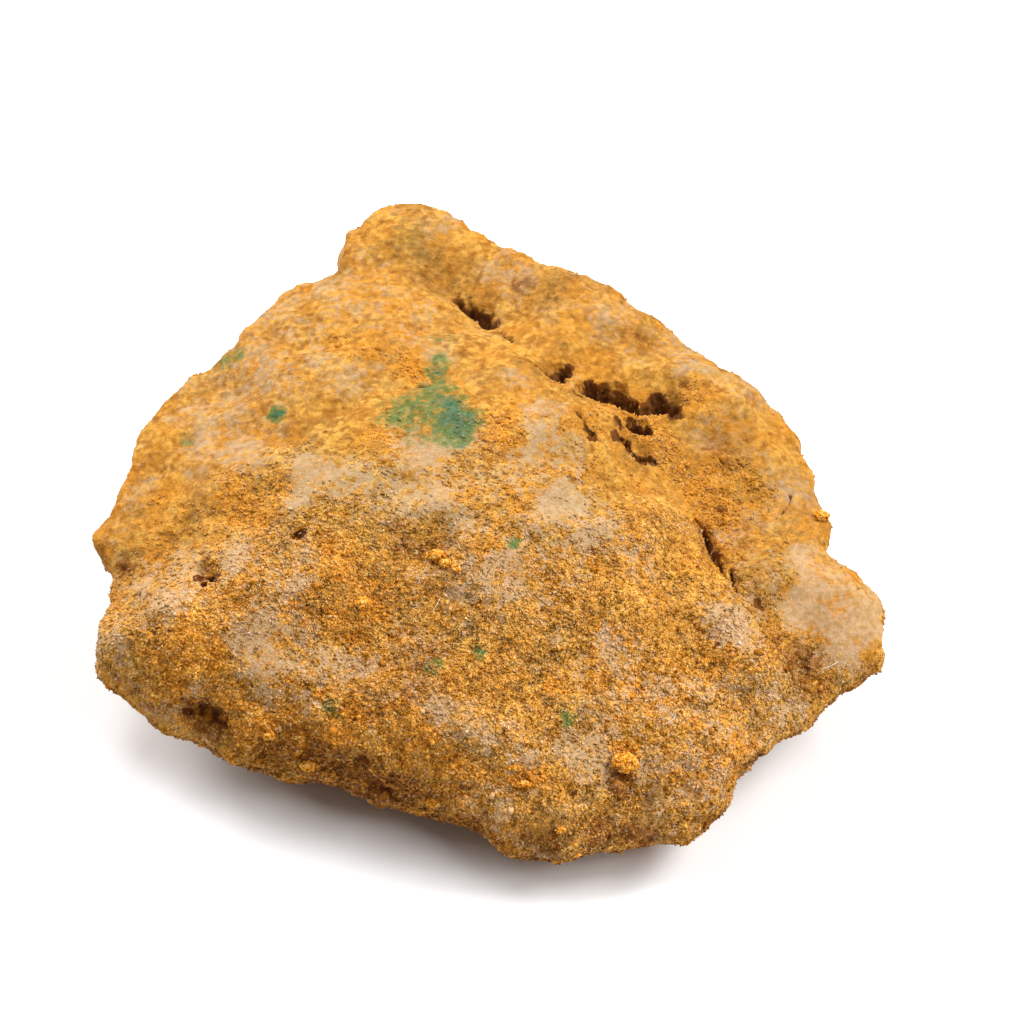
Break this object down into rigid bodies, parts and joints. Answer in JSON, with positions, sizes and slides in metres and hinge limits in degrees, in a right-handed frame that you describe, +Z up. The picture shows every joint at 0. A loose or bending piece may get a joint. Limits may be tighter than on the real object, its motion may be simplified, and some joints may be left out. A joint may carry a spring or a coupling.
{
  "type": "raw iron-stained stone with green mineral patches",
  "caption": "Flattish raw lump of sandy, iron-stained stone with small green mineral patches, pits and a crack, resting on its flattest side.",
  "frame": {"origin": "middle of the underside, at the bottom centre of the stone's bounding box", "axes": "+X along the stone's longest extent towards its knob, +Y towards its pointed back, +Z up, away from the flat face it rests on"},
  "size_m": [0.0434, 0.0414, 0.014],
  "materials": {
    "stone": "matt, sandy and crumbly, ochre with grey-mauve smoother patches and a few green mineral stains"
  },
  "bodies": {
    "root": {"stone": "stone"}
  },
  "joints": []
}
